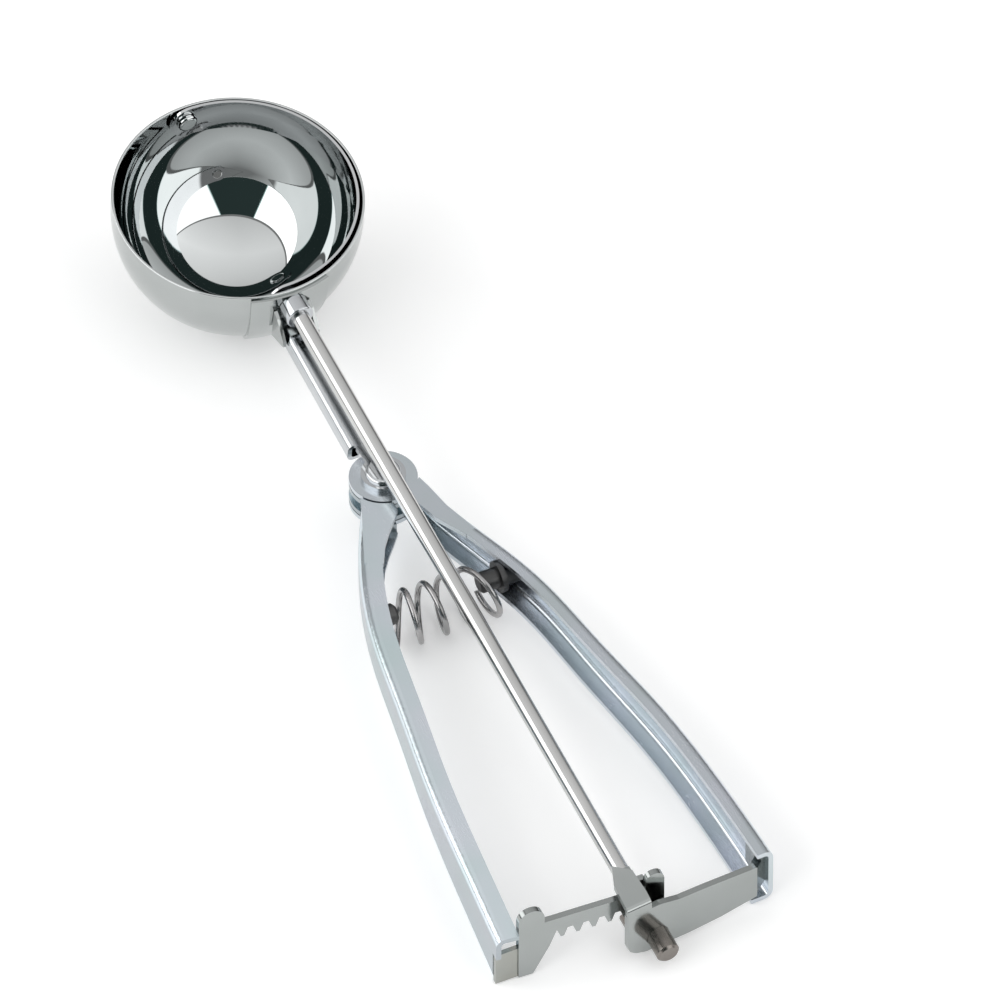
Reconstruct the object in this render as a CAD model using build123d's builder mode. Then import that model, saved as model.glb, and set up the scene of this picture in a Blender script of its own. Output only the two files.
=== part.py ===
from build123d import *

import os
from math import asin, atan, cos, degrees, hypot, pi, radians, sin, tan

# Squeeze-handle ice cream scoop, all in millimetres.
#
# +Z is up and the two levers lie level. +X is the right-hand lever's side, seen from
# the handle end with the bowl away. The bowl points along +Y. The origin is the centre
# of the bowl's rim. The bowl and the drive rod are tilted together against the levers:
# the rod runs downhill from the bowl to the handle end.

# ---- bowl -------------------------------------------------------------------
bowl_radius = 28.0
bowl_wall = 0.6
bowl_band = 4.0
rim_rounding = 0.2
tilt = 6.1

# ---- drive rod and scraper ----------------------------------------------------
rod_diameter = 4.0
running_clearance = 0.05
scraper_gap = 0.3
scraper_thickness = 0.6
scraper_width = 9.0
scraper_rest_angle = -1.1
scraper_sweep = 176.0
rivet_diameter = 2.5
bush_wall = 0.7

# ---- neck and saddle ------------------------------------------------------------
saddle_thickness = 0.8
saddle_half_angle = 19.0
saddle_below_rim = 0.6
saddle_depth_angle = 50.0
neck_sheet = 1.0
neck_width_at_bowl = 6.6
neck_width_at_hub = 7.6
neck_depth = 5.2
neck_below_rod = 4.8
neck_rounding = 1.6
neck_length_to_hub = 9.5
tongue_radius = 5.0
tongue_width = 4.6
cheek_length = 4.6

# ---- hub ----------------------------------------------------------------------------
hub_distance = 74.8
hub_pin_diameter = 4.0
hub_head_diameter = 8.0
hub_head_height = 1.0
hub_tail_diameter = 6.4
hub_tail_height = 1.2
sleeve_wall = 1.3
ear_radius = 7.6
ear_gap = 0.3

# ---- levers -------------------------------------------------------------------------
levers_below_rod = 4.9835
lever_height = 15.0
lever_depth_at_hub = 8.0
lever_sheet = 1.2
wide_flange = 5.3
narrow_flange = 3.9
lever_bend = 2.2
lever_gape = 2.6
web_overrun = 2.0
# inner corners of the plates between each lever's flanges and ears, as the spreads below
gusset_inner_corners = {
    1: [(9.0, 23.4), (5.2, 16.2), (3.5, 10.5), (2.5, 7.0)],
    -1: [(9.9, 24.0), (7.6, 19.2), (5.1, 15.6), (2.9, 13.0), (0.9, 10.4), (0.9, 6.8)],
}
cap_behind_hub = 131.9
cap_height = 9.0
cap_clearance = 0.15
cap_inner_edge = -30.2
cap_rounding = 1.8
# half spread of each lever's outer face, by the distance behind the hub
right_lever_spread = [
    (7.9, 6.6),
    (9.9, 13.7),
    (12.9, 22.4),
    (18.7, 40.2),
    (22.6, 63.2),
    (26.4, 86.2),
    (28.7, 112.2),
    (29.5, 135.7),
]
left_lever_spread = [
    (8.1, 6.6),
    (11.6, 13.7),
    (15.2, 22.4),
    (20.2, 40.2),
    (23.4, 63.2),
    (26.4, 86.2),
    (28.6, 112.2),
    (30.2, 135.7),
]

# ---- return spring --------------------------------------------------------------------
spring_behind_hub = 33.6
spring_below_levers = 7.9
spring_diameter = 13.4
spring_wire = 1.4
spring_turns = 4.25
seat_below_levers = 5.05
seat_diameter = 4.8
collar_diameter = 7.4
collar_thickness = 1.2
collar_from_web = 2.4

# ---- rack, pinion and stirrup -------------------------------------------------------
tooth_count = 8
gear_module = 1.178
rack_behind_hub = 134.4
rack_thickness = 1.5
stirrup_behind_hub = 139.5
stirrup_sheet = 1.5
stirrup_turn = 6.0
boss_diameter = 5.3
boss_end_behind_hub = 145.0
rod_recess = 1.5

# ---- worked out from the sizes above -----------------------------------------------
up = Vector(0, -sin(radians(tilt)), cos(radians(tilt)))
handleward = Vector(0, -cos(radians(tilt)), -sin(radians(tilt)))
bowl_centre = up * -bowl_band
bowl_inner_radius = bowl_radius - bowl_wall
rod_radius = rod_diameter / 2
hub_y = -hub_distance
rod_height_at_hub = bowl_centre.Z + (hub_y - bowl_centre.Y) * tan(radians(tilt))
lever_top = rod_height_at_hub - levers_below_rod
lever_bottom = lever_top - lever_height
spring_height = lever_top - spring_below_levers
seat_height = lever_top - seat_below_levers
hub_bottom = lever_top - lever_depth_at_hub
ear_level = lever_top - lever_sheet - ear_gap
low_ear_level = hub_bottom + lever_sheet + ear_gap
pitch_radius = tooth_count * gear_module / 2
tooth_pitch = pi * gear_module
rack_y = hub_y - rack_behind_hub
stirrup_y = hub_y - stirrup_behind_hub
squeeze_angle = radians(scraper_sweep) * pitch_radius / rack_behind_hub
rod_axis = Axis(bowl_centre, handleward)
taper = atan(
    (lever_height - lever_depth_at_hub) / (right_lever_spread[-1][1] + ear_radius),
)
# the levers' undersides: level across, and falling from the hub to the tips
underside = Plane(
    origin=(0, hub_y + ear_radius, hub_bottom),
    x_dir=(1, 0, 0),
    z_dir=(0, -sin(taper), cos(taper)),
)


def rod_height(y):
    """Height of the rod's axis where it passes y."""
    return bowl_centre.Z + (y - bowl_centre.Y) * tan(radians(tilt))


def along_rod(y):
    """Distance along the rod's axis, from the bowl's centre to where it passes y."""
    return (bowl_centre.Y - y) / cos(radians(tilt))


def rod_station(distance):
    """Plane across the rod at a distance from the bowl's centre towards the handle."""
    return Plane(origin=bowl_centre + handleward * distance, x_dir=(1, 0, 0), z_dir=handleward)


def lever_line(side, inset, overrun=0.0):
    """Points along a lever, in from its outer face; the left one is turned out at the hub."""
    lever_spread = right_lever_spread if side > 0 else left_lever_spread
    ends = [0, len(lever_spread) - 1]
    turn = 0.0 if side > 0 else radians(lever_gape)
    points = []
    for index, (spread, back) in enumerate(lever_spread):
        before = lever_spread[max(index - 1, 0)]
        after = lever_spread[min(index + 1, ends[1])]
        run = hypot(after[0] - before[0], after[1] - before[1])
        slope_x = (after[0] - before[0]) / run
        slope_y = (after[1] - before[1]) / run
        extra = overrun * (-1 if index == 0 else 1) if index in ends else 0.0
        x = side * (spread - inset * slope_y + extra * slope_x)
        y = -(back + inset * slope_x + extra * slope_y)
        points.append((x * cos(turn) + y * sin(turn), hub_y - x * sin(turn) + y * cos(turn)))
    return points


def lever_gusset(side):
    """Corners of the flat plate that joins a lever's flange to its ear."""
    turn = 0.0 if side > 0 else radians(lever_gape)
    lever_spread = right_lever_spread if side > 0 else left_lever_spread
    inner_corners = gusset_inner_corners[side]
    corners = [
        (ear_radius - 0.6, 3.6),
        (lever_spread[0][0] - 0.2, lever_spread[0][1]),
        (lever_spread[1][0] - 1.0, lever_spread[1][1]),
        (lever_spread[2][0] - 1.4, lever_spread[2][1]),
        *inner_corners,
    ]
    placed = []
    for spread, back in corners:
        x = side * spread
        y = -back
        placed.append((x * cos(turn) + y * sin(turn), hub_y - x * sin(turn) + y * cos(turn)))
    return placed


def lever_region(side, from_inset, to_inset, overrun=0.0):
    """Plan of a lever between two insets from its outer face."""
    with BuildSketch() as region:
        with BuildLine():
            outer = Spline(*lever_line(side, from_inset, overrun))
            inner = Spline(*lever_line(side, to_inset, overrun))
            Line(outer @ 0, inner @ 0)
            Line(outer @ 1, inner @ 1)
        make_face()
    return region.sketch


def lever_blank(side):
    """A lever without its ears: a channel bent from sheet, open to the inside.

    Both levers are the same pressing, one of them turned over: the wide flange is the
    upper one on the left and the lower one, along the slanted underside, on the right.
    """
    with BuildPart() as hollow:
        with BuildSketch(Plane.XY.offset(lever_bottom)):
            add(lever_region(side, lever_sheet, wide_flange + 1, web_overrun))
        extrude(amount=lever_height - lever_sheet)
        split(bisect_by=underside.offset(lever_sheet), keep=Keep.TOP)
        long_edges = hollow.edges().filter_by(lambda edge: edge.length > hub_distance)
        at_web = long_edges.sort_by(lambda edge: side * edge.center().X)[-2:]
        fillet(at_web, lever_bend - lever_sheet)
    with BuildPart() as beyond_narrow_flange:
        with BuildSketch(Plane.XY.offset(lever_bottom - wide_flange)):
            add(lever_region(side, narrow_flange, wide_flange + 1, web_overrun))
        extrude(amount=lever_height + 2 * wide_flange)
        split(
            bisect_by=underside.offset(lever_depth_at_hub / 2),
            keep=Keep.TOP if side > 0 else Keep.BOTTOM,
        )
    with BuildPart() as blank:
        with BuildSketch(Plane.XY.offset(lever_bottom - wide_flange)):
            add(lever_region(side, 0, wide_flange))
        extrude(amount=lever_height + 2 * wide_flange)
        split(bisect_by=underside, keep=Keep.TOP)
        split(bisect_by=Plane.XY.offset(lever_top), keep=Keep.BOTTOM)
        long_edges = blank.edges().filter_by(lambda edge: edge.length > hub_distance)
        outermost = long_edges.sort_by(lambda edge: side * edge.center().X)[-2:]
        fillet(outermost, lever_bend)
        add(hollow.part, mode=Mode.SUBTRACT)
        add(beyond_narrow_flange.part, mode=Mode.SUBTRACT)
    return blank.part


def web_and_outside(side):
    """Plan of a lever's web and of the space outside it."""
    return lever_region(side, -2 * wide_flange, lever_sheet, web_overrun)


def spread_at(side, back, inset):
    """X of a lever's surface at a distance behind the hub."""
    points = lever_line(side, inset)
    for first, second in zip(points, points[1:]):
        if second[1] <= hub_y - back <= first[1]:
            share = (first[1] - (hub_y - back)) / (first[1] - second[1])
            return first[0] + share * (second[0] - first[0])
    return points[-1][0]


# ---- bowl: a half sphere with a straight band up to its rim ---------------------------
with BuildPart() as bowl:
    with BuildSketch(rod_station(0)):
        with BuildLine():
            CenterArc((0, 0), bowl_radius, -90, 90)
            Line((bowl_radius, 0), (bowl_radius, bowl_band))
            Line((bowl_radius, bowl_band), (bowl_inner_radius, bowl_band))
            Line((bowl_inner_radius, bowl_band), (bowl_inner_radius, 0))
            CenterArc((0, 0), bowl_inner_radius, -90, 90)
            Line((0, -bowl_inner_radius), (0, -bowl_radius))
        make_face()
    revolve(axis=Axis(bowl_centre, up))
    fillet(bowl.edges().group_by(Axis(bowl_centre, up))[-1], rim_rounding)
    bush_hole_radius = rod_radius + running_clearance + bush_wall
    with BuildSketch(rod_station(0)):
        Circle(bush_hole_radius)
    extrude(amount=2 * bowl_radius, mode=Mode.SUBTRACT)
    with BuildSketch(rod_station(0)):
        Circle(rivet_diameter / 2)
    extrude(amount=-2 * bowl_radius, mode=Mode.SUBTRACT)

# ---- rivet that carries the scraper at the bowl's far side -----------------------------
ear_inner = bowl_inner_radius - scraper_gap - scraper_thickness
rivet_outer_head = 2.6
rivet_inner_head = 2.3
rivet_head_height = 1.0
rivet_rounding = 0.7
rivet_inner_reach = ear_inner - 2 * running_clearance - 0.1
with BuildPart() as bowl_rivet:
    rivet_inner_end = rod_station(-rivet_inner_reach)
    with BuildSketch(rivet_inner_end):
        Circle(rivet_diameter / 2)
    extrude(amount=rivet_inner_reach - bowl_radius)
    with BuildSketch(rod_station(-bowl_radius)):
        Circle(rivet_outer_head)
    extrude(amount=-rivet_head_height)
    with BuildSketch(rivet_inner_end):
        Circle(rivet_inner_head)
    extrude(amount=rivet_head_height)
    heads = bowl_rivet.faces().filter_by(rod_axis).sort_by(rod_axis)
    fillet(heads[0].edges(), rivet_rounding)
    fillet(heads[-1].edges(), rivet_rounding)

# ---- saddle plate on the bowl, with two cheeks that hold the neck -------------------------
saddle_radius = bowl_radius + saddle_thickness
bush_flange_radius = 3.2
cheek_thickness = 0.8
cheek_half_gap = neck_width_at_bowl / 2 + 0.35
with BuildPart() as saddle_plate:
    with BuildSketch(rod_station(0)):
        with BuildLine():
            CenterArc((0, 0), bowl_radius, -saddle_depth_angle, saddle_depth_angle)
            Line((bowl_radius, 0), (bowl_radius, bowl_band - saddle_below_rim))
            Line(
                (bowl_radius, bowl_band - saddle_below_rim),
                (saddle_radius, bowl_band - saddle_below_rim),
            )
            Line((saddle_radius, bowl_band - saddle_below_rim), (saddle_radius, 0))
            CenterArc((0, 0), saddle_radius, -saddle_depth_angle, saddle_depth_angle)
            low = -radians(saddle_depth_angle)
            Line(
                (bowl_radius * cos(low), bowl_radius * sin(low)),
                (saddle_radius * cos(low), saddle_radius * sin(low)),
            )
        make_face()
    revolve(axis=Axis(bowl_centre, up))
    with BuildSketch(Plane(origin=bowl_centre, x_dir=(1, 0, 0), z_dir=up)):
        reach = 2 * saddle_radius
        half = reach * tan(radians(saddle_half_angle))
        Polygon((0, 0), (-half, -reach), (half, -reach), align=None)
    extrude(amount=saddle_radius, both=True, mode=Mode.INTERSECT)
    for side in (-1, 1):
        with BuildSketch(Plane.YZ.offset(side * (cheek_half_gap + cheek_thickness / 2))):
            near = -saddle_radius + 0.8
            Polygon(
                (near, rod_height(near) - 0.6),
                (near - 1.6, rod_height(near - 1.6) - 1.4),
                (near - cheek_length, rod_height(near - cheek_length) - neck_below_rod - 0.6),
                (near - cheek_length, rod_height(near - cheek_length) - neck_below_rod - 2.4),
                (near + 1.4, rod_height(near) - neck_below_rod - neck_depth + 0.6),
                align=None,
            )
        extrude(amount=cheek_thickness / 2, both=True)
    with BuildSketch(rod_station(0)):
        Circle(bush_hole_radius)
    extrude(amount=2 * bowl_radius, mode=Mode.SUBTRACT)
    with Locations(bowl_centre):
        Sphere(bowl_radius, mode=Mode.SUBTRACT)

# ---- bush that guides the rod through the bowl's wall ----------------------------------
bush_length = 4.2
with BuildPart() as rod_bush:
    with BuildSketch(rod_station(bowl_inner_radius - 0.1)):
        Circle(bush_hole_radius)
    extrude(amount=saddle_radius - bowl_inner_radius + 0.1)
    with BuildSketch(rod_station(saddle_radius)):
        Circle(bush_flange_radius)
    extrude(amount=bush_length)
    fillet(rod_bush.faces().sort_by(rod_axis)[-1].edges(), 0.5)
    with BuildSketch(rod_station(0)):
        Circle(rod_radius + running_clearance)
    extrude(amount=2 * bowl_radius, mode=Mode.SUBTRACT)

# ---- neck: a folded tube under the rod, and a flat tongue on the hub ------------------------
neck_end_y = hub_y + neck_length_to_hub
tongue_top = lever_top + lever_sheet
level_from_y = bowl_centre.Y + (tongue_top + neck_below_rod - bowl_centre.Z) / tan(radians(tilt))
tongue_start_y = neck_end_y + 8.0
with BuildPart() as neck:
    with BuildSketch(Plane.YZ):
        Polygon(
            (tongue_start_y, rod_height(tongue_start_y) - neck_below_rod - 0.2),
            (level_from_y, tongue_top),
            (hub_y - tongue_radius, tongue_top),
            (hub_y - tongue_radius, lever_top),
            (level_from_y, lever_top),
            (tongue_start_y, rod_height(tongue_start_y) - neck_below_rod - lever_sheet),
            align=None,
        )
    extrude(amount=tongue_radius, both=True)
    with BuildSketch(Plane.XY.offset(lever_bottom)):
        with Locations((0, hub_y)):
            Circle(tongue_radius)
        with Locations((0, (hub_y + tongue_start_y) / 2)):
            Rectangle(tongue_width, tongue_start_y - hub_y)
    extrude(amount=lever_height * 2, mode=Mode.INTERSECT)
    for distance, width in (
        (bowl_inner_radius - 4, neck_width_at_bowl),
        (along_rod(neck_end_y), neck_width_at_hub),
    ):
        with BuildSketch(rod_station(distance)):
            with Locations((0, -neck_below_rod - neck_depth / 2)):
                RectangleRounded(width, neck_depth, neck_rounding)
    loft()
    for distance, width in (
        (bowl_inner_radius - 5, neck_width_at_bowl),
        (along_rod(neck_end_y) + 1, neck_width_at_hub),
    ):
        with BuildSketch(rod_station(distance)):
            with Locations((0, -neck_below_rod - neck_depth / 2)):
                RectangleRounded(
                    width - 2 * neck_sheet,
                    neck_depth - 2 * neck_sheet,
                    neck_rounding - neck_sheet,
                )
    loft(mode=Mode.SUBTRACT)
    with Locations(bowl_centre):
        Sphere(saddle_radius, mode=Mode.SUBTRACT)
    # the tube's top is open next to the bowl
    with BuildSketch(rod_station(saddle_radius - 3)):
        with Locations((0, -neck_below_rod)):
            Rectangle(neck_width_at_bowl - 2 * neck_sheet, 2 * neck_sheet + 0.4)
    extrude(amount=7.5, mode=Mode.SUBTRACT)
    with BuildSketch(Plane.XY.offset(lever_bottom)):
        with Locations((0, hub_y)):
            Circle(hub_pin_diameter / 2)
    extrude(amount=lever_height * 2, mode=Mode.SUBTRACT)

# ---- hub pin, and the sleeve that keeps the ears apart --------------------------------------
with BuildPart() as hub_pin:
    with BuildSketch(Plane.XY.offset(hub_bottom - hub_tail_height)):
        with Locations((0, hub_y)):
            Circle(hub_pin_diameter / 2)
    extrude(amount=tongue_top - hub_bottom + hub_tail_height)
    with BuildSketch(Plane.XY.offset(hub_bottom - hub_tail_height)):
        with Locations((0, hub_y)):
            Circle(hub_tail_diameter / 2)
    extrude(amount=hub_tail_height)
    fillet(hub_pin.edges().group_by(Axis.Z)[0], hub_tail_height * 0.8)
    with BuildSketch(Plane.XY.offset(tongue_top)):
        with Locations((0, hub_y)):
            Circle(hub_head_diameter / 2)
    extrude(amount=hub_head_height)
    fillet(hub_pin.edges().group_by(Axis.Z)[-1], hub_head_height * 0.8)

with BuildPart() as hub_sleeve:
    sleeve_top = ear_level - lever_sheet - running_clearance
    with BuildSketch(Plane.XY.offset(sleeve_top)):
        with Locations((0, hub_y)):
            Circle(hub_pin_diameter / 2 + sleeve_wall)
            Circle(hub_pin_diameter / 2, mode=Mode.SUBTRACT)
    extrude(amount=low_ear_level + lever_sheet + running_clearance - sleeve_top)

# ---- right lever: its ears are level with its flanges, above and below --------------------------
with BuildPart() as right_lever:
    add(lever_blank(1))
    with BuildSketch(Plane.XY.offset(lever_top - lever_sheet)):
        Polygon(*lever_gusset(1), align=None)
    extrude(amount=lever_sheet)
    with BuildSketch(underside):
        with Locations((0, -ear_radius - hub_y)):
            Polygon(*lever_gusset(1), align=None)
    extrude(amount=lever_sheet)
    for level in (hub_bottom, lever_top - lever_sheet):
        with BuildSketch(Plane.XY.offset(level)):
            with Locations((0, hub_y)):
                Circle(ear_radius)
        extrude(amount=lever_sheet)
    with BuildSketch(Plane.XY.offset(lever_bottom)):
        with Locations((0, hub_y)):
            Circle(hub_pin_diameter / 2)
    extrude(amount=lever_height, mode=Mode.SUBTRACT)

# ---- left lever: its ears are stepped in to lie between the right one's ------------------------------
step_radius = ear_radius + 0.5
step_outer_radius = step_radius + lever_sheet + 0.6
cap_y = hub_y - cap_behind_hub
with BuildPart() as left_lever:
    add(lever_blank(-1))
    with BuildSketch(Plane.XY.offset(lever_top - lever_sheet)):
        Polygon(*lever_gusset(-1), align=None)
    extrude(amount=lever_sheet)
    with BuildSketch(underside):
        with Locations((0, -ear_radius - hub_y)):
            Polygon(*lever_gusset(-1), align=None)
    extrude(amount=lever_sheet)
    for low, high in ((lever_bottom, low_ear_level), (ear_level, lever_top)):
        with BuildSketch(Plane.XY.offset(low)):
            with Locations((0, hub_y)):
                Circle(step_radius)
        extrude(amount=high - low, mode=Mode.SUBTRACT)
    for low, high in (
        (hub_bottom - 0.2, low_ear_level + lever_sheet),
        (ear_level - lever_sheet, lever_top),
    ):
        with BuildSketch(Plane.XY.offset(low)):
            Polygon(*lever_gusset(-1), align=None)
            with Locations((0, hub_y)):
                Circle(step_outer_radius, mode=Mode.INTERSECT)
                Circle(step_radius, mode=Mode.SUBTRACT)
        extrude(amount=high - low)
    for level in (low_ear_level, ear_level - lever_sheet):
        with BuildSketch(Plane.XY.offset(level)):
            Polygon(*lever_gusset(-1), align=None)
            with Locations((0, hub_y)):
                Circle(step_outer_radius, mode=Mode.INTERSECT)
                Circle(ear_radius)
                Circle(hub_pin_diameter / 2 + running_clearance, mode=Mode.SUBTRACT)
        extrude(amount=lever_sheet)
    # room for the end cap, which closes the lower part of the tip
    with BuildSketch(Plane.XY.offset(lever_bottom)):
        with Locations((spread_at(-1, cap_behind_hub, 0), cap_y)):
            Rectangle(4 * wide_flange, wide_flange * 2, align=(Align.CENTER, Align.MAX))
    extrude(amount=cap_height, mode=Mode.SUBTRACT)

with BuildPart() as left_end_cap:
    cap_left = spread_at(-1, cap_behind_hub, cap_clearance)
    with BuildSketch(Plane.XY.offset(lever_bottom)):
        with Locations(((cap_left + cap_inner_edge) / 2, cap_y)):
            Rectangle(cap_inner_edge - cap_left, lever_sheet, align=(Align.CENTER, Align.MAX))
    extrude(amount=cap_height)
    split(bisect_by=underside, keep=Keep.TOP)
    corners = left_end_cap.edges().filter_by(Axis.Y)
    fillet(corners.group_by(Axis.X)[0].sort_by(Axis.Z)[0], cap_rounding)

# ---- return spring between the two webs, and the spigots it sits on ----------------------------
spring_y = hub_y - spring_behind_hub
spring_radius = spring_diameter / 2
coil_radius = spring_radius - spring_wire / 2
spring_left = spread_at(-1, spring_behind_hub, wide_flange) + spring_wire / 2 + 0.7
spring_right = spread_at(1, spring_behind_hub, wide_flange) - spring_wire / 2 - 0.3
points_per_turn = 12
spring_steps = round(points_per_turn * spring_turns)
spring_start_angle = -135.0


def coil_point(step):
    """A point of the coil, whose turns fan out from the hub as the levers do."""
    angle = radians(spring_start_angle + step * 360 / points_per_turn)
    towards_hub = coil_radius * cos(angle)
    on_centre_line = spring_left + (spring_right - spring_left) * step / spring_steps
    return (
        on_centre_line * (spring_behind_hub - towards_hub) / spring_behind_hub,
        spring_y + towards_hub,
        spring_height + coil_radius * sin(angle),
    )


with BuildPart() as spring:
    with BuildLine() as coil:
        Spline(*[coil_point(step) for step in range(spring_steps + 1)])
    with BuildSketch(Plane(origin=coil.line @ 0, z_dir=coil.line % 0)):
        Circle(spring_wire / 2)
    sweep(is_frenet=True)


def spring_seat(side, inner_end):
    """Spigot that stands on a web and into the coil, with a collar and a chamfered nose."""
    collar_x = spread_at(side, spring_behind_hub, lever_sheet + collar_from_web)
    with BuildPart() as seat:
        with BuildSketch(Plane(origin=(inner_end, spring_y, seat_height), z_dir=(side, 0, 0))):
            Circle(seat_diameter / 2)
        extrude(amount=2 * wide_flange)
        chamfer(seat.edges().sort_by(Axis.X)[0 if side > 0 else -1], 0.6)
        with BuildSketch(Plane(origin=(collar_x, spring_y, seat_height), z_dir=(-side, 0, 0))):
            Circle(collar_diameter / 2)
        extrude(amount=collar_thickness)
        with BuildSketch(Plane.XY.offset(lever_bottom)):
            add(web_and_outside(side))
        extrude(amount=lever_height, mode=Mode.SUBTRACT)
    return seat.part


right_spring_seat = spring_seat(1, spring_right - 3.0)
left_spring_seat = spring_seat(-1, spring_left + 0.3)

# ---- drive rod ---------------------------------------------------------------------------------
rod_end = along_rod(hub_y - boss_end_behind_hub) - rod_recess
rod_head_rim = 0.7
rod_head_height = 1.0
with BuildPart() as drive_rod:
    with BuildSketch(rod_station(ear_inner - 0.2)):
        Circle(rod_radius)
    extrude(amount=rod_end - ear_inner + 0.2)
    with BuildSketch(rod_station(ear_inner - 0.2)):
        Circle(rod_radius + rod_head_rim)
    extrude(amount=-rod_head_height)
    fillet(drive_rod.faces().sort_by(rod_axis)[0].edges(), rod_head_height / 2)

# ---- scraper: a strip along the inside of the bowl, turned by the rod ------------------------------
scraper_outer = bowl_inner_radius - scraper_gap
scraper_inner = scraper_outer - scraper_thickness
rivet_hole_radius = rivet_diameter / 2 + running_clearance


def arc_past_hole(radius):
    """Half a circle round the bowl's centre, from the rod's hole to the rivet's hole."""
    start = degrees(asin(rod_radius / radius))
    end = 180 - degrees(asin(rivet_hole_radius / radius))
    return CenterArc((0, 0), radius, start, end - start)


with BuildPart() as scraper:
    with BuildSketch(Plane(origin=bowl_centre, x_dir=handleward, z_dir=up)):
        with BuildLine():
            outer_arc = arc_past_hole(scraper_outer)
            inner_arc = arc_past_hole(scraper_inner)
            Line(outer_arc @ 0, inner_arc @ 0)
            Line(outer_arc @ 1, inner_arc @ 1)
        make_face()
    revolve(axis=rod_axis)
    strip_plane = rod_station(0).rotated((0, 0, scraper_rest_angle))
    with BuildSketch(strip_plane):
        Rectangle(bowl_radius, scraper_width, align=(Align.MIN, Align.CENTER))
        Circle(scraper_width / 2)
    extrude(amount=bowl_radius, both=True, mode=Mode.INTERSECT)

# ---- pinion with its long boss -------------------------------------------------------------------
tooth_tip_radius = pitch_radius + 0.89
tooth_root_radius = pitch_radius - 1.41
gear_back_y = rack_y + 2.6
gear_front_y = rack_y - 2.4
# a tooth's half angle at the root, below the pitch line, on it and at the tip
tooth_flank = [
    (tooth_root_radius - 0.3, 11.5),
    (pitch_radius - 0.5, 11.2),
    (pitch_radius, 10.8),
    (tooth_tip_radius, 5.2),
]
with BuildPart() as pinion:
    with BuildSketch(rod_station(along_rod(gear_back_y))):
        Circle(tooth_root_radius)
        for index in range(tooth_count):
            middle = 90 + index * 360 / tooth_count
            left = [(r, middle + half) for r, half in tooth_flank]
            right = [(r, middle - half) for r, half in reversed(tooth_flank)]
            Polygon(
                *[(r * cos(radians(a)), r * sin(radians(a))) for r, a in left + right],
                align=None,
            )
    extrude(amount=along_rod(gear_front_y) - along_rod(gear_back_y))
    with BuildSketch(rod_station(along_rod(gear_front_y))):
        Circle(boss_diameter / 2)
    extrude(amount=along_rod(hub_y - boss_end_behind_hub) - along_rod(gear_front_y))
    chamfer(pinion.faces().sort_by(rod_axis)[-1].edges(), 0.5)
    with BuildSketch(rod_station(0)):
        Circle(rod_radius)
    extrude(amount=rod_end, mode=Mode.SUBTRACT)

# ---- rack bar on the left lever ----------------------------------------------------------------
rest_turn = degrees(squeeze_angle) / 2
rack_tip = pitch_radius - 1.1
rack_root = pitch_radius + 1.2
rack_top = 9.7
rack_tooth = 1.6
pressure_angle = 20.0
teeth_left_of_pinion = 6
teeth_right_of_pinion = 1
lug_left = -30.6
lug_right = -24.5
lug_round_top = 14.4
lug_bottom = lever_bottom - rod_height(rack_y)
hook_left = -0.9
hook_right = 3.5
hook_top = 14.6


def rack_tooth_points(centre):
    """A trapezium that hangs from the root line down to the tip line."""
    at_tip = rack_tooth / 2 + (rack_tip - pitch_radius) * tan(radians(pressure_angle))
    at_root = rack_tooth / 2 + (rack_root - pitch_radius) * tan(radians(pressure_angle))
    return [
        (centre - at_root, rack_root),
        (centre - at_tip, rack_tip),
        (centre + at_tip, rack_tip),
        (centre + at_root, rack_root),
    ]


rack_face = Plane(
    origin=(0, rack_y, rod_height(rack_y)),
    x_dir=(cos(radians(rest_turn)), -sin(radians(rest_turn)), 0),
    z_dir=(-sin(radians(rest_turn)), -cos(radians(rest_turn)), 0),
)
with BuildPart() as rack_bar:
    with BuildSketch(rack_face):
        with BuildLine():
            lower_edge = [(lug_left, lug_bottom), (lug_left + 3.4, lug_bottom)]
            lower_edge += [(lug_left + 7.2, 1.6), (lug_left + 8.9, rack_root)]
            for index in range(-teeth_left_of_pinion, teeth_right_of_pinion):
                lower_edge += rack_tooth_points((index + 0.5) * tooth_pitch)
            lower_edge += [(hook_right, rack_root), (hook_right, hook_top)]
            lower_edge += [(hook_left, hook_top), (hook_left, rack_top)]
            lower_edge += [(lug_right, rack_top), (lug_right, lug_round_top)]
            lower_edge += [(lug_left, lug_round_top)]
            Polyline(*lower_edge, close=True)
        make_face()
    extrude(amount=rack_thickness / 2, both=True)
    across = rack_bar.edges().filter_by(Axis((0, 0, 0), rack_face.z_dir))
    high_corners = across.group_by(Axis.Z)[-1]
    fillet(high_corners, (hook_right - hook_left) / 2 - 0.1)
    across = rack_bar.edges().filter_by(Axis((0, 0, 0), rack_face.z_dir))
    lug_high = across.filter_by(lambda edge: edge.center().X < lug_right + 1).sort_by(Axis.Z)[-2:]
    fillet(lug_high, (lug_right - lug_left) / 2 - 0.1)

# ---- stirrup on the right lever: front plate, roof over the rod, rear ear -----------------------------
plate_top = 12.0
plate_left = -7.6
roof_right = -1.6
arm_end = 25.2
fold_height = 2.2
fold_radius = 1.4
plate_outline = [
    (plate_left, plate_top - fold_height),
    (0.5, plate_top - fold_height),
    (2.5, 9.4),
    (5.5, 8.7),
    (12.0, 8.4),
    (arm_end, 7.4),
    (arm_end, -1.9),
    (16.0, -3.2),
    (8.0, -3.6),
    (-3.0, -3.4),
    (-5.6, -2.5),
    (-7.1, -1.3),
    (plate_left, 0.3),
]
roof_slope = 12.0
roof_sheet = 1.2
roof_length = 12.0
rear_y = hub_y - 129.6
rear_ear_radius = 3.9
plate_face = Plane(
    origin=(0, stirrup_y, rod_height(stirrup_y)),
    x_dir=(cos(radians(stirrup_turn)), sin(radians(stirrup_turn)), 0),
    z_dir=(sin(radians(stirrup_turn)), -cos(radians(stirrup_turn)), 0),
)
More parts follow.
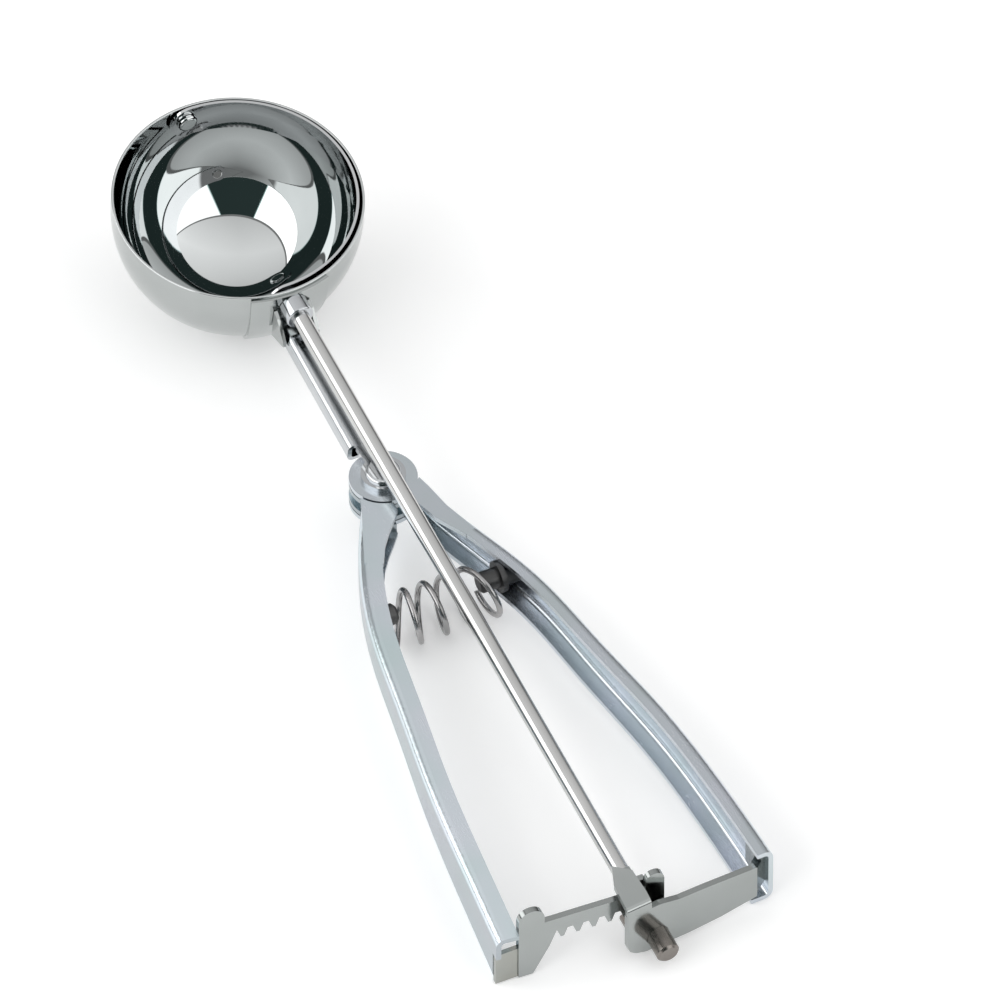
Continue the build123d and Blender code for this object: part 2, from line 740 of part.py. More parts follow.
# square to the plate: away from its front face, and up
across_plate = Plane(
    origin=plate_face.origin,
    x_dir=-plate_face.z_dir,
    z_dir=plate_face.x_dir,
)
with BuildPart() as roof:
    with BuildSketch(across_plate) as fold_profile:
        roof_rise = roof_length * tan(radians(roof_slope))
        Polygon(
            (0, plate_top - fold_height),
            (0, plate_top),
            (roof_length, plate_top + roof_rise),
            (roof_length, plate_top + roof_rise - roof_sheet),
            (stirrup_sheet, plate_top - roof_sheet),
            (stirrup_sheet, plate_top - fold_height),
            align=None,
        )
        front_corners = fold_profile.vertices().group_by(Axis.X)[0]
        fillet(front_corners.sort_by(Axis.Y)[-1], fold_radius)
    extrude(amount=2 * rear_ear_radius + 2, both=True)
    with BuildSketch(Plane.XY.offset(lever_bottom)):
        Polygon(
            (plate_left, stirrup_y - 2),
            (roof_right, stirrup_y - 2),
            (roof_right, stirrup_y + stirrup_sheet + 1),
            (-2.2, rear_y - 1.4),
            (-6.0, rear_y + 1.0),
            (plate_left, rear_y - 3.6),
            align=None,
        )
    extrude(amount=2 * lever_height, mode=Mode.INTERSECT)

with BuildPart() as stirrup:
    with BuildSketch(plate_face):
        Polygon(*plate_outline, align=None)
    extrude(amount=-stirrup_sheet)
    add(roof.part)
    with BuildSketch(Plane.XZ.offset(-rear_y)):
        ear_top = rod_height(stirrup_y) + plate_top + (rear_y - stirrup_y) * tan(radians(roof_slope))
        Polygon(
            (-5.9, ear_top - 0.4),
            (-2.3, ear_top - 0.4),
            (-2.1, lever_top - 0.3),
            (0.9, lever_top - 0.3),
            (rear_ear_radius, rod_height(rear_y)),
            (-rear_ear_radius, rod_height(rear_y)),
            align=None,
        )
        with Locations((0, rod_height(rear_y))):
            Circle(rear_ear_radius)
    extrude(amount=stirrup_sheet)
    # the arm's end turns into the lever's channel and lies on its web
    with BuildSketch(Plane.XY.offset(rod_height(stirrup_y) - 1.1)):
        Polygon(
            (arm_end - 1.6, stirrup_y + 2.9),
            (arm_end - 0.2, stirrup_y + 2.8),
            (29.5, hub_y - 133.0),
            (29.5, hub_y - 127.0),
            (27.0, hub_y - 127.0),
            (26.9, hub_y - 132.6),
            (arm_end - 1.6, stirrup_y + 4.1),
            align=None,
        )
        add(web_and_outside(1), mode=Mode.SUBTRACT)
    extrude(amount=8.0)
    with BuildSketch(rod_station(along_rod(rear_y + 5))):
        Circle(rod_radius + running_clearance)
    extrude(amount=8, mode=Mode.SUBTRACT)
    with BuildSketch(rod_station(along_rod(stirrup_y + 4))):
        Circle(boss_diameter / 2 + running_clearance)
    extrude(amount=8, mode=Mode.SUBTRACT)

# ---- write every piece -----------------------------------------------------------------------------
pieces = {
    "bowl": bowl.part,
    "bowl_rivet": bowl_rivet.part,
    "saddle_plate": saddle_plate.part,
    "rod_bush": rod_bush.part,
    "neck": neck.part,
    "hub_pin": hub_pin.part,
    "hub_sleeve": hub_sleeve.part,
    "right_lever": right_lever.part,
    "left_lever": left_lever.part,
    "left_end_cap": left_end_cap.part,
    "spring": spring.part,
    "right_spring_seat": right_spring_seat,
    "left_spring_seat": left_spring_seat,
    "drive_rod": drive_rod.part,
    "scraper": scraper.part,
    "pinion": pinion.part,
    "rack_bar": rack_bar.part,
    "stirrup": stirrup.part,
}
os.makedirs("parts", exist_ok=True)
for name, piece in pieces.items():
    piece.label = name
    export_step(piece, f"parts/{name}.step")

print("squeeze range, degrees:", round(degrees(squeeze_angle), 3))
print("rod turns per handle turn:", round(rack_behind_hub / pitch_radius, 4))
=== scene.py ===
import math

import bpy
import numpy as np
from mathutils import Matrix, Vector


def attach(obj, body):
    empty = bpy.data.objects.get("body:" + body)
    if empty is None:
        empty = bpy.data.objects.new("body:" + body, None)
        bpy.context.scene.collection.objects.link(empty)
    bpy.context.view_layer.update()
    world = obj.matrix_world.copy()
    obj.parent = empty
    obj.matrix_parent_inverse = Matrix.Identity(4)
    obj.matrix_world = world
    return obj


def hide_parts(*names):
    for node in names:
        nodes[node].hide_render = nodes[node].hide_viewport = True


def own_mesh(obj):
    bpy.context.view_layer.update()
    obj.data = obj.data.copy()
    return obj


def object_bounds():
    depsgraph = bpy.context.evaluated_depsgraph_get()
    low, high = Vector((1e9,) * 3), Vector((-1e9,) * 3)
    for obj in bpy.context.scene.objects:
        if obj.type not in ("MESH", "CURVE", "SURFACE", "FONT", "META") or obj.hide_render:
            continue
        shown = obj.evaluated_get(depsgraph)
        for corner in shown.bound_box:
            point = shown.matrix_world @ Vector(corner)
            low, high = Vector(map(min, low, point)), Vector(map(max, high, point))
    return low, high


# Squeeze-handle ice cream scoop: finishes, studio and camera. All lengths are in metres.
# The frame is the CAD's own: the origin is the centre of the bowl's rim, +Y points from
# the handle to the bowl, +Z is up and the two levers lie level.

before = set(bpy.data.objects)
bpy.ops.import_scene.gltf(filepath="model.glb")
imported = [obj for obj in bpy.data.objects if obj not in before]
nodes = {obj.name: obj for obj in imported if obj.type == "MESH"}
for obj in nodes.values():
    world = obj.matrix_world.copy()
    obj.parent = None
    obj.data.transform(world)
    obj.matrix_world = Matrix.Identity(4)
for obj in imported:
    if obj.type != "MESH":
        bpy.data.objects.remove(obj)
cad_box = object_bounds()

MM = 0.001

# ---- where things are on the tool ---------------------------------------------------------
BOWL_TILT = math.radians(6.1)
BOWL_AXIS = (0.0, -math.sin(BOWL_TILT), math.cos(BOWL_TILT))
ROD_AXIS = (0.0, math.cos(BOWL_TILT), math.sin(BOWL_TILT))
HUB_Y = -74.8 * MM
TIP_Y = -210.0 * MM
# the floor lies just under the tool, so that no two faces share a plane
FLOOR_GAP = 0.02 * MM
FLOOR_HEIGHT = cad_box[0].z - FLOOR_GAP

# ---- bowl: half a sphere and a straight band of one thin wall, with two holes --------------
BOWL_RADIUS = 28.0 * MM
BOWL_WALL = 0.6 * MM
BOWL_BAND = 4.0 * MM
RIM_ROUNDING = 0.2 * MM
BUSH_HOLE_RADIUS = 2.75 * MM
RIVET_HOLE_RADIUS = 1.25 * MM
# the sphere's centre, the band's height below the rim along the bowl's axis
BOWL_CENTRE = (0.0, BOWL_BAND * math.sin(BOWL_TILT), -BOWL_BAND * math.cos(BOWL_TILT))
# how finely the bowl's surface is divided
AROUND_THE_BOWL = 360
UP_THE_CAP = 84
UP_THE_BAND = 10
ROUND_A_CORNER = 5
# which of the bowl's two finishes is the inner one
INNER_FINISH = 1

# ---- camera -------------------------------------------------------------------------------
CAMERA_AZIMUTH = math.radians(334.6)
CAMERA_ELEVATION = math.radians(47.5)
CAMERA_DISTANCE = 7.0
PIXELS_PER_METRE = 4564.0
IMAGE_SIZE = 1000
SENSOR_WIDTH = 36.0
NEAREST_SEEN = 1.0
FARTHEST_SEEN = 100.0
# the point of the tool's own space that the camera looks at
AIM_POINT = (21.24 * MM, -89.71 * MM, -20.0 * MM)
# level directions, towards the camera and to its right
TO_CAMERA = (math.sin(CAMERA_AZIMUTH), -math.cos(CAMERA_AZIMUTH), 0.0)
TO_RIGHT = (math.cos(CAMERA_AZIMUTH), math.sin(CAMERA_AZIMUTH), 0.0)
UP = (0.0, 0.0, 1.0)

# ---- finishes -----------------------------------------------------------------------------
# spots per metre of the slow changes of tint and of the shallow waves, and the waves' depth
# on pressed sheet
PATCHES = 60.0
WAVES = 130.0
PRESSED_WAVES = 0.006 * MM
# finer layers of noise on top of the first
GRAIN_DETAIL = 3.0
RING_DETAIL = 2.0
PATCH_DETAIL = 2.0
WAVE_DETAIL = 1.0
# the stretches of a noise's values that are used: its common values, its rare high ones
# that make patches, and all that it can have
COMMON_SPAN = (0.3, 0.7)
RARE_SPAN = (0.5, 0.75)
WHOLE_SPAN = (0.0, 1.0)
# a face stands upright where the size of its normal's Z is under the first, and is level
# where it is over the second; upright faces of the left lever get painted shade
UPRIGHT_TO_LEVEL = (0.1, 0.5)

# ---- floor --------------------------------------------------------------------------------
FLOOR_COLOUR = (0.90, 0.90, 0.90, 1.0)
FLOOR_ROUGHNESS = 0.9
FLOOR_GLOW = 0.25
FLOOR_HALF_WIDTH = 6.0
WHITE = (1.0, 1.0, 1.0)

# ---- light --------------------------------------------------------------------------------
# Brightness of each part of the tent, and where it begins. Wall edges are cosines of the
# turn from the camera. Tent feet are heights, from lit to unlit. The oval lies in a ceiling
# one unit up, right and near being +.
LEFT_WALL_LIGHT = 2.3
RIGHT_WALL_LIGHT = 1.75
SIDE_BLUR = 0.1
FAR_WALL_LIGHT = 0.36
FAR_WALL_EDGE = -0.47
FAR_WALL_BLUR = 0.06
LOW_WALL_LIGHT = 0.12
RIGHT_TENT_FOOT = (0.31, 0.17)
LEFT_TENT_FOOT = (0.20, 0.10)
GAP_LIGHT = 0.045
GAP_EDGE = 0.838
GAP_BLUR = 0.01
GAP_SLANT = 0.085
GAP_TINT = (0.62, 1.0, 0.96)
OVERHEAD_LIGHT = 1.02
OVERHEAD_FADE = 0.38
OVERHEAD_RISE = 0.18
FRAME_LIGHT = 0.25
OVAL_CENTRE = (0.594, -0.881)
OVAL_RADII = (1.28, 1.79)
OVAL_TURN = math.radians(36.4)
# edges of the oval and of the dim frame round it, as squared shares of the oval's radii
OVAL_EDGE = (0.99, 0.97)
FRAME_EDGE = (1.05, 1.03)
# lower directions count as this high where the ceiling is met, so that no division is by
# nearly zero
LOWEST_CEILING = 0.05
# a hair over one, which keeps a length from being zero straight up
OVER_ONE = 1.0001


# ---- shader nodes -------------------------------------------------------------------------
def add_nodes(material):
    """Empties a material and gives its node tree and its surface shader."""
    material.use_nodes = True
    tree = material.node_tree
    tree.nodes.clear()
    output = tree.nodes.new("ShaderNodeOutputMaterial")
    shader = tree.nodes.new("ShaderNodeBsdfPrincipled")
    tree.links.new(shader.outputs["BSDF"], output.inputs["Surface"])
    return tree, shader


def node(tree, kind, **settings):
    """A new node with some of its settings made."""
    made = tree.nodes.new(kind)
    for name, value in settings.items():
        setattr(made, name, value)
    return made


def feed(tree, value, socket):
    """Links a socket's value into another, or sets it there when it is a plain number."""
    if isinstance(value, (int, float)):
        socket.default_value = value
    else:
        tree.links.new(value, socket)


def calculated(tree, operation, *values):
    """The result of one arithmetic operation on sockets or plain numbers."""
    made = node(tree, "ShaderNodeMath", operation=operation)
    for value, socket in zip(values, made.inputs):
        feed(tree, value, socket)
    return made.outputs["Value"]


def vector_result(tree, operation, vector, fixed=None):
    """The outputs of one operation on a vector, with a fixed second vector if it has one."""
    made = node(tree, "ShaderNodeVectorMath", operation=operation)
    tree.links.new(vector, made.inputs[0])
    if fixed is not None:
        made.inputs[1].default_value = fixed
    return made.outputs


def axis_part(tree, vector, axis):
    """A vector's X, Y or Z."""
    parts = node(tree, "ShaderNodeSeparateXYZ")
    tree.links.new(vector, parts.inputs["Vector"])
    return parts.outputs[axis]


def spread(tree, value, span, low, high, kind="LINEAR"):
    """low where a value is at the start of the span, high at its end, in proportion between
    the two and no further beyond them."""
    made = node(tree, "ShaderNodeMapRange", interpolation_type=kind)
    made.inputs["From Min"].default_value = span[0]
    made.inputs["From Max"].default_value = span[1]
    feed(tree, low, made.inputs["To Min"])
    feed(tree, high, made.inputs["To Max"])
    tree.links.new(value, made.inputs["Value"])
    return made.outputs["Result"]


def soft_step(tree, value, span):
    """0 up to the start of the span, 1 beyond its end and a smooth rise between; the start
    may be above the end."""
    return spread(tree, value, span, 0.0, 1.0, "SMOOTHSTEP")


def tinted(tree, value, dark, light):
    """A colour between two, chosen by a value from 0 to 1."""
    mix = node(tree, "ShaderNodeMix", data_type="RGBA")
    mix.inputs["A"].default_value = (*dark, 1.0)
    mix.inputs["B"].default_value = (*light, 1.0)
    tree.links.new(value, mix.inputs["Factor"])
    return mix.outputs["Result"]


def stretched_noise(tree, coordinates, scale, detail):
    """Noise whose grain is drawn out along an axis: scale is grains per metre on each axis."""
    mapping = node(tree, "ShaderNodeMapping", vector_type="POINT")
    mapping.inputs["Scale"].default_value = scale
    noise = node(tree, "ShaderNodeTexNoise")
    noise.inputs["Scale"].default_value = 1.0
    noise.inputs["Detail"].default_value = detail
    tree.links.new(coordinates, mapping.inputs["Vector"])
    tree.links.new(mapping.outputs["Vector"], noise.inputs["Vector"])
    return noise.outputs["Fac"]


# ---- finishes -----------------------------------------------------------------------------
def ring_place(tree, place, axis):
    """Distance from a line through the bowl's centre and place along it, in place of X and Y.

    The distance is the length of the cross product of the offset from the centre with the
    line's direction, and the place along is their dot product.
    """
    offset = vector_result(tree, "SUBTRACT", place, BOWL_CENTRE)["Vector"]
    across = vector_result(tree, "CROSS_PRODUCT", offset, axis)["Vector"]
    rings = node(tree, "ShaderNodeCombineXYZ")
    tree.links.new(vector_result(tree, "LENGTH", across)["Value"], rings.inputs["X"])
    tree.links.new(vector_result(tree, "DOT_PRODUCT", offset, axis)["Value"], rings.inputs["Y"])
    return rings.outputs["Vector"]


def painted_shade_by_side(tree, tint, place, upright, at_tip):
    """A colour that is upright times as bright on the faces that stand upright.

    The darker upright faces are painted shade. On level faces it is as written at the hub,
    and rises in proportion to at_tip times that at the lever's tip.
    """
    normal = node(tree, "ShaderNodeTexCoord").outputs["Normal"]
    level = calculated(tree, "ABSOLUTE", axis_part(tree, normal, "Z"))
    tip_gain = spread(tree, axis_part(tree, place, "Y"), (HUB_Y, TIP_Y), 1.0, at_tip)
    scaled = node(tree, "ShaderNodeVectorMath", operation="SCALE")
    tree.links.new(tint, scaled.inputs["Vector"])
    share = spread(tree, level, UPRIGHT_TO_LEVEL, upright, tip_gain)
    tree.links.new(share, scaled.inputs["Scale"])
    return scaled.outputs["Vector"]


def steel(name, dark, light, rough, smudge, grain, depth, dents, spun_round=None, painted_side_shade=None):
    """Bare or plated steel.

    dark and light are the ends of its slow change of tint. Its roughness is the grain's
    share of the range rough, plus up to smudge in the patches that handling leaves. Its
    relief is depth times the grain plus dents times shallow waves. grain is the grains per
    metre on each axis. spun_round is the axis that a polishing wheel left its rings round,
    and grain is then the rings per metre outwards and along it. The last argument paints shade
    on upright faces, drawn its first value times as bright, and scales level faces from as
    written at the hub to its second value at the lever's tip.
    """
    material = bpy.data.materials.new(name)
    tree, shader = add_nodes(material)
    place = node(tree, "ShaderNodeTexCoord").outputs["Object"]
    if spun_round:
        fine = stretched_noise(tree, ring_place(tree, place, spun_round), grain, RING_DETAIL)
    else:
        fine = stretched_noise(tree, place, grain, GRAIN_DETAIL)
    slow = stretched_noise(tree, place, (PATCHES, PATCHES, PATCHES), PATCH_DETAIL)
    wavy = stretched_noise(tree, place, (WAVES, WAVES, WAVES), WAVE_DETAIL)
    tint = tinted(tree, spread(tree, slow, COMMON_SPAN, 0.0, 1.0), dark, light)
    # upright faces drawn darker: painted shade
    if painted_side_shade:
        tint = painted_shade_by_side(tree, tint, place, *painted_side_shade)
    roughness = calculated(
        tree, "ADD",
        spread(tree, fine, COMMON_SPAN, *rough),
        spread(tree, slow, RARE_SPAN, 0.0, smudge),
    )
    relief = calculated(
        tree, "ADD",
        spread(tree, fine, WHOLE_SPAN, 0.0, depth),
        spread(tree, wavy, WHOLE_SPAN, 0.0, dents),
    )
    bump = node(tree, "ShaderNodeBump")
    bump.inputs["Strength"].default_value = 1.0
    bump.inputs["Distance"].default_value = 1.0
    tree.links.new(relief, bump.inputs["Height"])
    shader.inputs["Metallic"].default_value = 1.0
    tree.links.new(tint, shader.inputs["Base Color"])
    tree.links.new(roughness, shader.inputs["Roughness"])
    tree.links.new(bump.outputs["Normal"], shader.inputs["Normal"])
    return material


looks = {
    "polished_bowl": dict(
        dark=(0.58, 0.60, 0.60), light=(0.62, 0.64, 0.64), rough=(0.01, 0.03), smudge=0.02,
        grain=(2500.0, 2500.0, 1.0), depth=0.0002 * MM, dents=0.004 * MM,
        spun_round=BOWL_AXIS,
    ),
    "bowl_outside": dict(
        dark=(0.415, 0.435, 0.43), light=(0.455, 0.475, 0.47), rough=(0.10, 0.16), smudge=0.04,
        grain=(2500.0, 2500.0, 1.0), depth=0.0004 * MM, dents=0.004 * MM,
        spun_round=BOWL_AXIS,
    ),
    "polished_strip": dict(
        dark=(0.58, 0.59, 0.60), light=(0.63, 0.64, 0.65), rough=(0.03, 0.07), smudge=0.03,
        grain=(3000.0, 3000.0, 1.0), depth=0.0003 * MM, dents=0.004 * MM,
        spun_round=ROD_AXIS,
    ),
    "ground_rod": dict(
        dark=(0.56, 0.56, 0.555), light=(0.62, 0.62, 0.615), rough=(0.08, 0.14), smudge=0.04,
        grain=(5000.0, 5000.0, 1.0), depth=0.0004 * MM, dents=0.003 * MM,
        spun_round=ROD_AXIS,
    ),
    "buffed_neck": dict(
        dark=(0.52, 0.54, 0.56), light=(0.58, 0.595, 0.61), rough=(0.07, 0.12), smudge=0.05,
        grain=(6000.0, 300.0, 6000.0), depth=0.0004 * MM, dents=PRESSED_WAVES,
    ),
    # both levers are one satin steel, drawn in two tints: the left one lighter, a painted light,
    # and the right one darker, a painted shade; the left one's upright faces get painted shade too
    "left_lever_satin_painted_light": dict(
        dark=(0.62, 0.72, 0.74), light=(0.70, 0.74, 0.80), rough=(0.20, 0.26), smudge=0.05,
        grain=(7000.0, 500.0, 7000.0), depth=0.0005 * MM, dents=PRESSED_WAVES,
        painted_side_shade=(0.61, 1.20),
    ),
    "right_lever_satin_painted_shade": dict(
        dark=(0.57, 0.63, 0.65), light=(0.63, 0.66, 0.72), rough=(0.21, 0.27), smudge=0.05,
        grain=(7000.0, 500.0, 7000.0), depth=0.0005 * MM, dents=PRESSED_WAVES,
    ),
    "satin_plate": dict(
        dark=(0.345, 0.365, 0.357), light=(0.395, 0.415, 0.41), rough=(0.10, 0.16), smudge=0.06,
        grain=(900.0, 5000.0, 5000.0), depth=0.0006 * MM, dents=PRESSED_WAVES,
    ),
    "warm_cap": dict(
        dark=(0.32, 0.34, 0.33), light=(0.40, 0.40, 0.365), rough=(0.15, 0.24), smudge=0.06,
        grain=(4000.0, 4000.0, 900.0), depth=0.0008 * MM, dents=PRESSED_WAVES,
    ),
    "drawn_pinion": dict(
        dark=(0.19, 0.175, 0.16), light=(0.29, 0.265, 0.245), rough=(0.22, 0.34), smudge=0.08,
        grain=(5000.0, 400.0, 5000.0), depth=0.001 * MM, dents=PRESSED_WAVES,
    ),
    # near black: on the spring seats a painted shade that sinks them into the shade of the lever's
    # channel; the hub sleeve wears the same near black
    "near_black_painted_shade": dict(
        dark=(0.05, 0.05, 0.05), light=(0.11, 0.11, 0.11), rough=(0.35, 0.45), smudge=0.10,
        grain=(3000.0, 3000.0, 3000.0), depth=0.001 * MM, dents=PRESSED_WAVES,
    ),
    "spring_wire": dict(
        dark=(0.30, 0.30, 0.30), light=(0.44, 0.43, 0.43), rough=(0.16, 0.26), smudge=0.08,
        grain=(2500.0, 2500.0, 2500.0), depth=0.001 * MM, dents=PRESSED_WAVES,
    ),
}
finishes = {name: steel(name, **look) for name, look in looks.items()}
worn_by = {
    "polished_bowl": ["bowl", "bowl_rivet"],
    "polished_strip": ["scraper"],
    "ground_rod": ["drive_rod"],
    "bowl_outside": ["saddle_plate"],
    "buffed_neck": ["neck", "rod_bush", "hub_pin"],
    # the two levers' tints are painted light and painted shade on one satin steel
    "left_lever_satin_painted_light": ["left_lever"],
    "right_lever_satin_painted_shade": ["right_lever"],
    "satin_plate": ["stirrup", "rack_bar"],
    "warm_cap": ["left_end_cap"],
    "drawn_pinion": ["pinion"],
    # near black on the spring seats is painted shade
    "near_black_painted_shade": ["hub_sleeve", "right_spring_seat", "left_spring_seat"],
    "spring_wire": ["spring"],
}
for finish, wearers in worn_by.items():
    for wearer in wearers:
        for slot in nodes[wearer].material_slots:
            slot.material = finishes[finish]


# ---- bowl ---------------------------------------------------------------------------------
def bowl_outline():
    """The wall's outline in a plane through the bowl's axis, as rows of distance from the
    axis and height over the sphere's centre.

    Each wall is R cos t, R sin t for t from the bottom up to level, then straight up. The
    rim has a rounded corner on each side. The rows run up the outer wall, over the rim and
    down the inner wall, without the two points on the axis.
    """
    turns = np.linspace(-math.pi / 2, 0.0, UP_THE_CAP, endpoint=False)[1:]
    straight = np.linspace(0.0, BOWL_BAND - RIM_ROUNDING, UP_THE_BAND)

    def wall(radius):
        """The rows of one wall, from the bottom up."""
        cap = np.column_stack([radius * np.cos(turns), radius * np.sin(turns)])
        band = np.column_stack([np.full(UP_THE_BAND, radius), straight])
        return np.vstack([cap, band])

    bend = np.linspace(0.0, math.pi / 2, ROUND_A_CORNER + 1)[1:]
    outward = RIM_ROUNDING * np.cos(bend)
    heights = BOWL_BAND - RIM_ROUNDING + RIM_ROUNDING * np.sin(bend)
    inner_radius = BOWL_RADIUS - BOWL_WALL
    outer_corner = np.column_stack([BOWL_RADIUS - RIM_ROUNDING + outward, heights])
    inner_corner = np.column_stack([inner_radius + RIM_ROUNDING - outward, heights])
    outer = np.vstack([wall(BOWL_RADIUS), outer_corner])
    inner = np.vstack([wall(inner_radius), inner_corner])
    return np.vstack([outer, inner[::-1]])


def hole_cells(grid, wall_rows):
    """Which cells of the outer wall lie in a hole, from the middle of each cell."""
    low = grid[:wall_rows - 1]
    high = grid[1:wall_rows]
    middle = (low + np.roll(low, -1, axis=1) + high + np.roll(high, -1, axis=1)) / 4
    from_rod_line = np.hypot(middle[..., 0], middle[..., 2])
    in_bush_hole = (from_rod_line < BUSH_HOLE_RADIUS) & (middle[..., 1] < 0)
    in_rivet_hole = (from_rod_line < RIVET_HOLE_RADIUS) & (middle[..., 1] > 0)
    return in_bush_hole | in_rivet_hole


def round_the_holes(grid, wall_rows, removed):
    """Moves the corners between kept and removed cells onto the circle of their hole.

    A corner keeps its turn round the hole's line, takes the hole's radius, and goes to
    where the hole's cylinder meets the wall: the square root of the wall's radius squared
    less the sideways distance squared, and below the centre less the height squared too.
    """
    columns = removed.shape[1]
    touches = np.zeros((wall_rows, columns), int)
    for row_step in (0, 1):
        for column_step in (0, 1):
            shifted = np.roll(removed, column_step, axis=1)
            touches[row_step:wall_rows - 1 + row_step] += shifted
    edge = (touches > 0) & (touches < 4)
    for rows, radius in (
        (np.arange(wall_rows), BOWL_RADIUS),
        (len(grid) - 1 - np.arange(wall_rows), BOWL_RADIUS - BOWL_WALL),
    ):
        wall = grid[rows]
        corners = wall[edge]
        hole = np.where(corners[:, 1] < 0, BUSH_HOLE_RADIUS, RIVET_HOLE_RADIUS)
        widen = hole / np.hypot(corners[:, 0], corners[:, 2])
        sideways = corners[:, 0] * widen
        height = corners[:, 2] * widen
        reach = np.sqrt(radius**2 - sideways**2 - np.minimum(height, 0.0)**2)
        wall[edge] = np.column_stack([sideways, np.sign(corners[:, 1]) * reach, height])
        grid[rows] = wall
    return grid


def hole_walls(removed, rows):
    """Four-sided faces across the wall's thickness, one at each side of a hole's cells.

    Row r of the outer wall faces row rows - 1 - r of the inner one. Each face runs against
    the cell that it joins, so that all faces look outward.
    """
    columns = removed.shape[1]

    def number(row, column):
        """A point's number: row times columns plus column, which closes on itself."""
        return row * columns + column % columns

    edges = []
    beside = np.roll(removed, -1, axis=1)
    for row, column in np.argwhere(removed != beside):
        low = (row, column + 1)
        high = (row + 1, column + 1)
        edges.append((high, low) if beside[row, column] else (low, high))
    for row, column in np.argwhere(removed[:-1] != removed[1:]):
        left = (row + 1, column)
        right = (row + 1, column + 1)
        edges.append((left, right) if removed[row + 1, column] else (right, left))
    return [
        (number(*first), number(*second), number(rows - 1 - second[0], second[1]),
         number(rows - 1 - first[0], first[1]))
        for first, second in edges
    ]


def thin_bowl():
    """The bowl's wall: its outline turned round the bowl's axis.

    A point is distance times cos a, distance times sin a and height, for a from 0 to 360
    degrees, laid along X, the rod's line and the bowl's axis from the sphere's centre.
    """
    outline = bowl_outline()
    rows = len(outline)
    wall_rows = UP_THE_CAP - 1 + UP_THE_BAND
    turns = np.linspace(0.0, 2 * math.pi, AROUND_THE_BOWL, endpoint=False)
    grid = np.empty((rows, AROUND_THE_BOWL, 3))
    grid[..., 0] = outline[:, :1] * np.cos(turns)
    grid[..., 1] = outline[:, :1] * np.sin(turns)
    grid[..., 2] = outline[:, 1:]
    removed = hole_cells(grid, wall_rows)
    grid = round_the_holes(grid, wall_rows, removed)

    kept = np.ones((rows - 1, AROUND_THE_BOWL), bool)
    kept[:wall_rows - 1] &= ~removed
    kept[rows - wall_rows:] &= ~removed[::-1]
    numbers = np.arange(rows * AROUND_THE_BOWL).reshape(rows, AROUND_THE_BOWL)
    beside = np.roll(numbers, -1, axis=1)
    cells = np.stack([numbers[:-1], beside[:-1], beside[1:], numbers[1:]], axis=-1)
    outer_pole = rows * AROUND_THE_BOWL
    inner_pole = outer_pole + 1
    outer_fan = [(outer_pole, second, first) for first, second in zip(numbers[0], beside[0])]
    inner_fan = [(inner_pole, first, second) for first, second in zip(numbers[-1], beside[-1])]
    faces = [*cells[kept].tolist(), *outer_fan, *inner_fan, *hole_walls(removed, rows)]

    poles = [(0.0, 0.0, -BOWL_RADIUS), (0.0, 0.0, BOWL_WALL - BOWL_RADIUS)]
    local = np.vstack([grid.reshape(-1, 3), poles])
    points = np.array(BOWL_CENTRE) + local @ np.array([(1.0, 0.0, 0.0), ROD_AXIS, BOWL_AXIS])
    mesh = bpy.data.meshes.new("bowl_wall")
    mesh.from_pydata(points.tolist(), [], faces)
    mesh.materials.append(finishes["bowl_outside"])
    mesh.materials.append(finishes["polished_bowl"])
    cell_finish = np.zeros(kept.shape, int)
    cell_finish[wall_rows - 1:] = INNER_FINISH
    inner_fan_start = kept.sum() + len(outer_fan)
    face_finish = np.zeros(len(faces), int)
    face_finish[:kept.sum()] = cell_finish[kept]
    face_finish[inner_fan_start:inner_fan_start + len(inner_fan)] = INNER_FINISH
    mesh.polygons.foreach_set("material_index", face_finish)
    mesh.polygons.foreach_set("use_smooth", np.ones(len(faces), bool))
    bowl = bpy.data.objects.new("bowl_wall", mesh)
    bpy.context.scene.collection.objects.link(bowl)
    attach(bowl, "bowl_and_right_lever")
    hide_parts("bowl")


thin_bowl()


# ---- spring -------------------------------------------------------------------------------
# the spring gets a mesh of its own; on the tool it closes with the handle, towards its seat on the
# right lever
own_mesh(nodes["spring"])


# ---- floor --------------------------------------------------------------------------------
def white_floor():
    """A wide pale floor that keeps the tool's soft shadow, and glows a little where it is
    seen, also in the steel."""
    half = FLOOR_HALF_WIDTH
    corners = np.array([(-half, -half), (half, -half), (half, half), (-half, half)])
    heights = np.full((len(corners), 1), FLOOR_HEIGHT)
    mesh = bpy.data.meshes.new("floor")
    mesh.from_pydata(np.hstack([corners, heights]).tolist(), [], [(0, 1, 2, 3)])
    floor = bpy.data.objects.new("floor", mesh)
    bpy.context.scene.collection.objects.link(floor)
    material = bpy.data.materials.new("floor_paper")
    tree, shader = add_nodes(material)
    shader.inputs["Base Color"].default_value = FLOOR_COLOUR
    shader.inputs["Roughness"].default_value = FLOOR_ROUGHNESS
    shader.inputs["Specular IOR Level"].default_value = 0.0
    rays = node(tree, "ShaderNodeLightPath")
    mirrored = calculated(
        tree, "MAXIMUM", rays.outputs["Is Glossy Ray"], rays.outputs["Is Transmission Ray"],
    )
    seen = calculated(tree, "MAXIMUM", rays.outputs["Is Camera Ray"], mirrored)
    glow = calculated(tree, "MULTIPLY", seen, FLOOR_GLOW)
    shader.inputs["Emission Color"].default_value = (*WHITE, 1.0)
    tree.links.new(glow, shader.inputs["Emission Strength"])
    mesh.materials.append(material)


white_floor()


